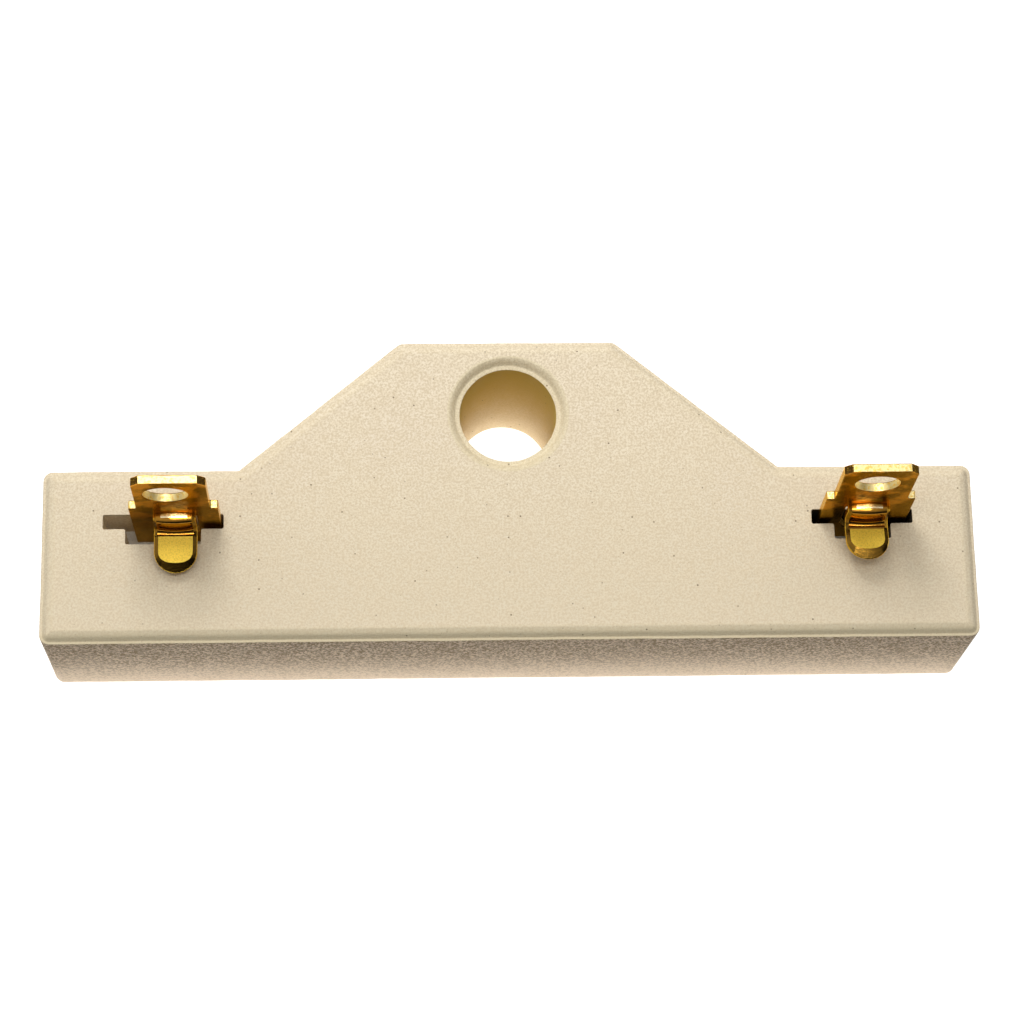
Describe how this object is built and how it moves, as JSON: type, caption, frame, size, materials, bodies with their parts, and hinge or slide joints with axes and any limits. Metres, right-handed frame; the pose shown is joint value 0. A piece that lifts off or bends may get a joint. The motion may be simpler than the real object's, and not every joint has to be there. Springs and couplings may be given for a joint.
{
  "type": "ignition coil ballast resistor",
  "caption": "Ceramic bar resistor with a mounting tab, a bolt hole and an upright brass screw and push-on terminal at each end.",
  "frame": {"origin": "axis of the mounting hole in the plane of the back face", "axes": "+X along the bar, +Y from the bar towards the mounting tab, +Z along the mounting hole, out of the front face"},
  "size_m": [0.104, 0.035, 0.0371],
  "materials": {
    "ceramic": "matte",
    "brass": "satin",
    "resistance_wire": "satin",
    "cement": "matte"
  },
  "bodies": {
    "root": {"ceramic_body": "ceramic", "terminal_left": "brass", "terminal_right": "brass", "resistance_coil": "resistance_wire", "cement_left": "cement", "cement_right": "cement"}
  },
  "joints": []
}
